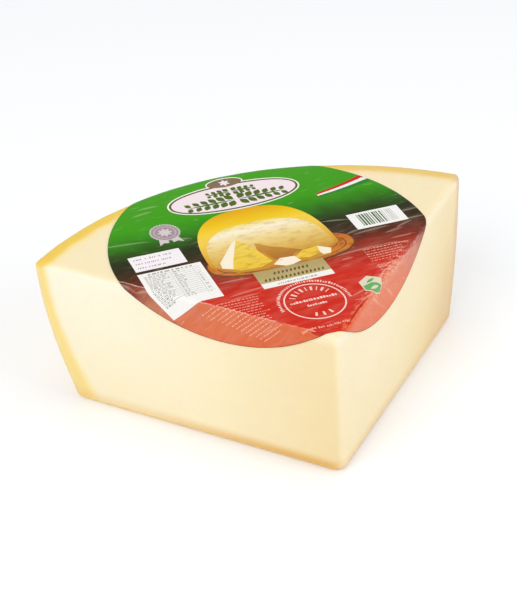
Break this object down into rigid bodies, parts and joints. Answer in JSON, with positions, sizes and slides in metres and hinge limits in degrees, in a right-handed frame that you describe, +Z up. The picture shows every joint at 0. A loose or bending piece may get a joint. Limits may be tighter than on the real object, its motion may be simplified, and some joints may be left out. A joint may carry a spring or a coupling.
{
  "type": "grana cheese",
  "caption": "Block of hard grana cheese from a wheel, with cut faces meeting in a tip, a rind heel and a round printed label folded over its top edges.",
  "frame": {"origin": "on the base, under the middle of the bounding box", "axes": "+Z up, the tip points to -Y and the rind heel to +Y, so the YZ plane halves the angle between the two upright cuts"},
  "size_m": [0.282, 0.1968, 0.1006],
  "materials": {
    "cheese": "satin, smooth cut cheese with a golden rind",
    "label": "glossy printed film"
  },
  "bodies": {
    "root": {"cheese": "cheese", "label": "label"}
  },
  "joints": []
}
